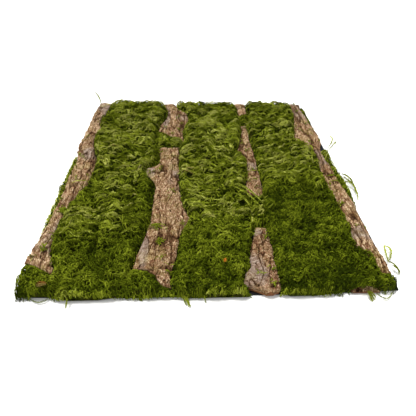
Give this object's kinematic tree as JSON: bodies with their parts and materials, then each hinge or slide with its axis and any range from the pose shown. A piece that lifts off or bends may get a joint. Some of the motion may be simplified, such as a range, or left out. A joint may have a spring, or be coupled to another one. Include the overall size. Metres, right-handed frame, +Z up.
{
  "type": "moss and bark mat",
  "caption": "Square display mat of shaggy green sheet moss with strips of rough brown bark on a black felt backing, lying flat.",
  "frame": {"origin": "centre of the underside, on the surface that the mat lies on", "axes": "+Z up out of the moss, +Y towards the back edge along the bark strips, +X to the right"},
  "size_m": [0.5085, 0.5084, 0.0314],
  "materials": {
    "felt": "matt black needled felt",
    "bark": "rough dry bark, pinkish brown with grey weathered scales",
    "broken_bark": "freshly broken rust-brown inner bark",
    "moss": "soft shaggy feather moss, yellow-green shoots over dark hollows"
  },
  "bodies": {
    "root": {"felt_backing": "felt", "bark_left": "bark", "bark_centre_left_front": "bark", "bark_centre_left_back": "bark", "bark_centre_right_front": "bark", "bark_centre_right_middle": "bark", "bark_centre_right_back": "bark", "bark_right": "bark", "bark_front_chip": "broken_bark", "moss_left": "moss", "moss_centre": "moss", "moss_right": "moss", "moss_front_left_corner": "moss", "moss_front_tuft": "moss", "moss_bridge_left": "moss", "moss_bridge_right_front": "moss", "moss_bridge_right_back": "moss", "moss_front_right_corner": "moss", "moss_left_fringe": "moss", "moss_right_fringe": "moss", "moss_back_right_fringe": "moss"}
  },
  "joints": []
}
